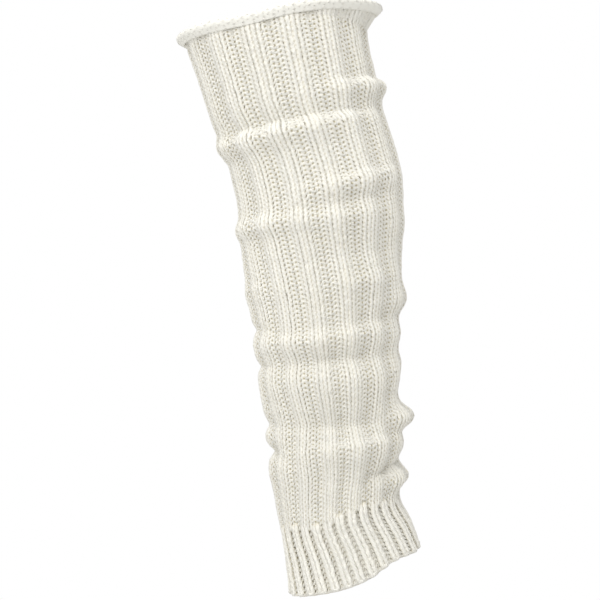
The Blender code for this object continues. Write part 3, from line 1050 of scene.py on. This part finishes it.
@dataclass(frozen=True)
class YarnFinish:
    """Soft matt yarn: cream, plied, a little hairy, with painted shade where it lies deep and in the
    gaps between the loops.
    """

    name: str = "cream_yarn"
    light: Colour = (0.85, 0.838, 0.785)
    warm: Colour = (0.84, 0.812, 0.725)
    # painted shade where the yarn lies deep in the cloth
    recess_shade: Colour = (0.84, 0.797, 0.665)
    roughness: float = 0.9
    specular: float = 0.2
    sheen: float = 0.25
    sheen_roughness: float = 0.5
    plies: int = 3
    twists: int = 4  # of one ply past a point, for each stitch
    blotch: float = 70.0  # per metre
    blotch_detail: float = 3.0
    proud_range: tuple[float, float] = (0.3, 2.0)  # millimetres, from full painted shade to none
    # painted shade of the gaps between loops, laid on as dots over each loop's head and foot
    gap_shade_colour: Colour = (0.475, 0.415, 0.265)
    gap_shade_size: tuple[float, float] = (0.19, 0.29)  # half width and height, in wales and courses
    gap_shade_softness: float = 0.75
    head_shift: tuple[float, float] = (0.0, 0.25)  # wales and courses from a head's gap to a middle
    foot_shift: tuple[float, float] = (0.5, 0.75)  # and from a foot's gap
    ply_height: float = 0.00018
    hair: tuple[float, float] = (9.0, 14.0)  # waves along a stitch and round the yarn
    hair_detail: float = 4.0
    hair_height: float = 0.0006

    def build(self) -> bpy.types.Material:
        """The yarn's material, matt with a little sheen.

        Returns:
            The material.
        """
        material, nodes = Nodes.of_material(self.name)
        nodes.dress(self._colour(nodes), self._normal(nodes), self.roughness, self.specular)
        shader = nodes.shader()
        shader.inputs["Sheen Weight"].default_value = self.sheen
        shader.inputs["Sheen Roughness"].default_value = self.sheen_roughness
        shader.inputs["Sheen Tint"].default_value = (*self.light, 1.0)
        return material

    def _colour(self, nodes: Nodes) -> bpy.types.NodeSocket:
        """The yarn's colour.

        Two creams by large soft noise, then painted shade by how deep the yarn lies in the cloth, then
        the painted shade of the gaps between loops. A gap lies over each loop's head and, half a course
        and half a wale on, over each loop's foot.

        Args:
            nodes: the material's nodes.

        Returns:
            The colour's socket.
        """
        place = nodes.add("TexCoord", {}).outputs["Object"]
        blotches = nodes.noise(place, self.blotch, self.blotch_detail)
        cream = nodes.mix(blotches, (*self.light, 1.0), (*self.warm, 1.0))
        # painted shade: the deeper the yarn lies among the loops, the darker
        near = nodes.smooth(nodes.attribute("proud"), *self.proud_range)
        colour = nodes.mix(near, (*self.recess_shade, 1.0), cream)
        # painted shade of the gaps between loops: dark dots by the place in the cloth
        cloth = nodes.add("UVMap", {}, uv_map="place").outputs[0]
        head, foot = (self._gap(nodes, cloth, shift) for shift in (self.head_shift, self.foot_shift))
        inside = nodes.smooth(nodes.math("MINIMUM", head, foot), 1.0, 1.0 - self.gap_shade_softness)
        shown = nodes.math("MULTIPLY", inside, nodes.attribute("gap_shade"))
        return nodes.mix(shown, colour, (*self.gap_shade_colour, 1.0))

    def _normal(self, nodes: Nodes) -> bpy.types.NodeSocket:
        """The yarn's relief: a sine round and along it, which draws the plies, and fine drawn-out noise.

        Args:
            nodes: the material's nodes.

        Returns:
            The normal's socket.
        """
        uv = nodes.add("UVMap", {}, uv_map="uv").outputs[0]
        along, around = nodes.add("SeparateXYZ", {0: uv}).outputs[:2]
        twisted = nodes.math("MULTIPLY", along, float(self.twists))
        turns = nodes.math("ADD", twisted, nodes.math("MULTIPLY", around, float(self.plies)))
        ply = nodes.math("SINE", nodes.math("MULTIPLY", turns, 2 * math.pi))
        waves = [nodes.math("MULTIPLY", way, count) for way, count in zip((along, around), self.hair)]
        drawn = nodes.add("CombineXYZ", {0: waves[0], 1: waves[1]}).outputs[0]
        hair = nodes.noise(drawn, 1.0, self.hair_detail)
        plied = nodes.add("Bump", {"Height": ply, "Distance": self.ply_height}).outputs[0]
        hairy = {"Height": hair, "Distance": self.hair_height, "Normal": plied}
        return nodes.add("Bump", hairy).outputs[0]

    def _gap(
        self, nodes: Nodes, cloth: bpy.types.NodeSocket, shift: tuple[float, float]
    ) -> bpy.types.NodeSocket:
        """How far a place in the cloth is from the nearest gap, in gap sizes.

        The place moved by shift has its gaps at the middles of unit squares. The way to the middle of
        its square is scaled by the gap's size, and its length is taken.

        Args:
            nodes: the material's nodes.
            cloth: the place by wale and course.
            shift: wales and courses to move it by.

        Returns:
            The distance's socket.
        """
        moved = nodes.add("VectorMath", {0: cloth, 1: (*shift, 0.0)}, operation="ADD").outputs[0]
        part = nodes.add("VectorMath", {0: moved}, operation="FRACTION").outputs[0]
        middle = nodes.add("VectorMath", {0: part, 1: (0.5, 0.5, 0.0)}, operation="SUBTRACT").outputs[0]
        size = (1 / self.gap_shade_size[0], 1 / self.gap_shade_size[1], 0.0)
        scaled = nodes.add("VectorMath", {0: middle, 1: size}, operation="MULTIPLY").outputs[0]
        return nodes.add("VectorMath", {0: scaled}, operation="LENGTH").outputs["Value"]


@dataclass(frozen=True)
class BackingFinish:
    """The thin cloth between the loops: painted shade of the gaps on its outer face, the yarn's cream on
    its inner face.
    """

    name: str = "gap_shade_sheet"
    # colour and warm are the painted shade of the gaps between the loops, mixed by fine noise
    colour: Colour = (0.50, 0.40, 0.26)
    warm: Colour = (0.56, 0.46, 0.31)
    inside: Colour = (0.82, 0.785, 0.69)  # on its inner face, which lies nearly at the surface
    grain: float = 900.0  # per metre
    grain_detail: float = 4.0
    grain_height: float = 0.0003
    roughness: float = 0.95
    specular: float = 0.1

    def build(self) -> bpy.types.Material:
        """The thin cloth's material: painted shade with fine noise in its colour and relief, and paler
        on its inner face.

        Returns:
            The material.
        """
        material, nodes = Nodes.of_material(self.name)
        grain = nodes.noise(nodes.add("TexCoord", {}).outputs["Object"], self.grain, self.grain_detail)
        colour = nodes.mix(grain, (*self.colour, 1.0), (*self.warm, 1.0))
        colour = nodes.mix(nodes.attribute("proud"), colour, (*self.inside, 1.0))
        relief = nodes.add("Bump", {"Height": grain, "Distance": self.grain_height}).outputs[0]
        nodes.dress(colour, relief, self.roughness, self.specular)
        return material


@dataclass(frozen=True)
class FloorFinish:
    """A pale matt floor that fades into the white round it."""

    name: str = "pale_floor"
    colour: Colour = (0.78, 0.78, 0.78)
    roughness: float = 0.8
    fade_from: float = 0.25
    fade_to: float = 0.85

    def build(self) -> bpy.types.Material:
        """The floor's material: its shader gives way to plain white with the distance from its middle.

        Returns:
            The material.
        """
        material, nodes = Nodes.of_material(self.name)
        place = nodes.add("TexCoord", {}).outputs["Object"]
        far = nodes.add("VectorMath", {0: place}, operation="LENGTH").outputs["Value"]
        share = nodes.smooth(far, self.fade_from, self.fade_to)
        white = nodes.add("Emission", {"Color": WHITE, "Strength": 1.0}).outputs[0]
        shader = nodes.shader()
        shader.inputs["Base Color"].default_value = (*self.colour, 1.0)
        shader.inputs["Roughness"].default_value = self.roughness
        mixed = nodes.add("MixShader", {0: share, 1: shader.outputs[0], 2: white}).outputs[0]
        nodes.tree.links.new(mixed, nodes.tree.nodes["Material Output"].inputs["Surface"])
        return material


@dataclass(frozen=True)
class SoftLight:
    """A large square light that faces the middle of the leg warmer."""

    name: str
    place: tuple[float, float, float]
    size: float
    power: float

    def build(self, target: Vector) -> None:
        """Adds the light.

        Args:
            target: the point that it is turned towards.
        """
        data = bpy.data.lights.new(self.name, "AREA")
        data.size = self.size
        data.energy = self.power
        light = bpy.data.objects.new(self.name, data)
        light.location = self.place
        light.rotation_euler = (target - light.location).to_track_quat("-Z", "Y").to_euler()
        bpy.context.scene.collection.objects.link(light)


@dataclass
class Studio:
    """A pale floor, soft white light, and a camera level with the middle of the picture."""

    distance: float = 1.05
    frame_width: float = 0.4284  # seen across at the leg's axis
    target: tuple[float, float] = (-0.0146, -0.0714)  # across and up, at the picture's middle
    sensor: float = 36.0
    floor_height: float = -0.5
    floor_radius: float = 0.9
    floor_sides: int = 96
    surround: float = 0.8
    lights: tuple[SoftLight, ...] = (
        SoftLight("top_light", (-0.25, -0.8, 1.2), 1.6, 13.8),
        SoftLight("front_light", (-1.3, -2.0, 0.8), 1.6, 13.2),
    )

    def build(self) -> None:
        """Sets the stage and takes the camera's place."""
        self._floor()
        self._surround()
        for light in self.lights:
            light.build(Vector((self.target[0], 0.0, self.target[1])))
        self._camera()
        bpy.context.scene.view_settings.view_transform = "Standard"

    def _floor(self) -> None:
        """A round floor under the leg warmer, clear of it."""
        sides, radius = self.floor_sides, self.floor_radius
        bpy.ops.mesh.primitive_circle_add(vertices=sides, radius=radius, fill_type="NGON")
        floor = bpy.context.object
        floor.name = "floor"
        floor.location = (0.0, 0.0, self.floor_height)
        floor.data.materials.append(FloorFinish().build())

    def _surround(self) -> None:
        """White all round: plain white where it is seen, softer as a light."""
        world = bpy.data.worlds.new("white_studio")
        world.use_nodes = True
        bpy.context.scene.world = world
        nodes = Nodes(world.node_tree)
        lit = world.node_tree.nodes["Background"]
        lit.inputs["Color"].default_value = WHITE
        lit.inputs["Strength"].default_value = self.surround
        seen = nodes.add("Background", {"Color": WHITE, "Strength": 1.0}).outputs[0]
        direct = nodes.add("LightPath", {}).outputs["Is Camera Ray"]
        both = nodes.add("MixShader", {0: direct, 1: lit.outputs[0], 2: seen}).outputs[0]
        world.node_tree.links.new(both, world.node_tree.nodes["World Output"].inputs["Surface"])

    def _camera(self) -> None:
        """A level camera whose picture is frame_width across at the leg's axis."""
        data = bpy.data.cameras.new("camera")
        data.sensor_width = self.sensor
        data.lens = self.sensor * self.distance / self.frame_width
        camera = bpy.data.objects.new("camera", data)
        camera.location = (self.target[0], -self.distance, self.target[1])
        camera.rotation_euler = (math.pi / 2, 0.0, 0.0)
        bpy.context.scene.collection.objects.link(camera)
        bpy.context.scene.camera = camera


def stretches(cloth: ClothMap) -> list[KnitStretch]:
    """The leg warmer's three fabrics.

    Args:
        cloth: the map of the cloth.

    Returns:
        The stretches, from the hem up.
    """
    cuff = KnitStretch(
        "ankle_cuff", "ankle_cuff", "narrow_rib_knit", Fabric.NARROW_RIB, 0, cloth.cuff_courses,
        flat=(0.295, 0.044),
        cast_off=CastOff.HEM,
        stitch=Stitch(leg_share=0.75, purl_gap_shade=0.6, knit_gap_shade=0.1),
    )
    tube = KnitStretch(
        "leg_tube", "leg_tube", "wide_rib_knit", Fabric.WIDE_RIB, cloth.tube_start, cloth.tube_courses,
        flat=(0.325, 0.352),
        pieces=4,
    )
    even_stitch = Stitch(
        yarn=2.7, depth=0.4, purl_gap_shade=0.08, knit_gap_shade=0.03, uneven_height=0.08, uneven_depth=0.05
    )
    roll = KnitStretch(
        "rolled_top_edge", "rolled_top_edge", "plain_knit", Fabric.PLAIN, cloth.roll_start,
        cloth.roll_courses,
        flat=(0.404, 0.021),
        rib_courses=3,
        cast_off=CastOff.TOP,
        backing_rows=3,
        backing_depth=0.52,
        backing_wall=1.6,
        stitch=even_stitch,
    )
    return [cuff, tube, roll]


def finishes() -> dict[Fabric, tuple[bpy.types.Material, bpy.types.Material]]:
    """The materials of each fabric's yarn and of the thin cloth between its loops.

    Returns:
        A pair for each fabric. Both ribs have the same.
    """
    rib = YarnFinish().build(), BackingFinish().build()
    # the rolled edge has paler painted shade where its yarn lies deep
    rolled = YarnFinish("rolled_yarn", recess_shade=(0.83, 0.805, 0.73), proud_range=(-0.6, 0.9))
    # the rolled edge's thin cloth carries a paler painted shade of its gaps
    between = BackingFinish(
        "rolled_edge_gap_shade_sheet", (0.80, 0.77, 0.68), (0.83, 0.80, 0.72), inside=(0.84, 0.825, 0.76)
    )
    return {
        Fabric.NARROW_RIB: rib,
        Fabric.WIDE_RIB: rib,
        Fabric.PLAIN: (rolled.build(), between.build()),
    }


def main() -> None:
    """Builds the leg warmer and its studio."""
    logging.basicConfig(level=logging.INFO, format="%(message)s")
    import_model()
    Studio().build()
    cloth, dressed = ClothMap(), finishes()
    for stretch in stretches(cloth):
        stretch.build(cloth, *dressed[stretch.fabric])


if __name__ == "__main__":
    main()
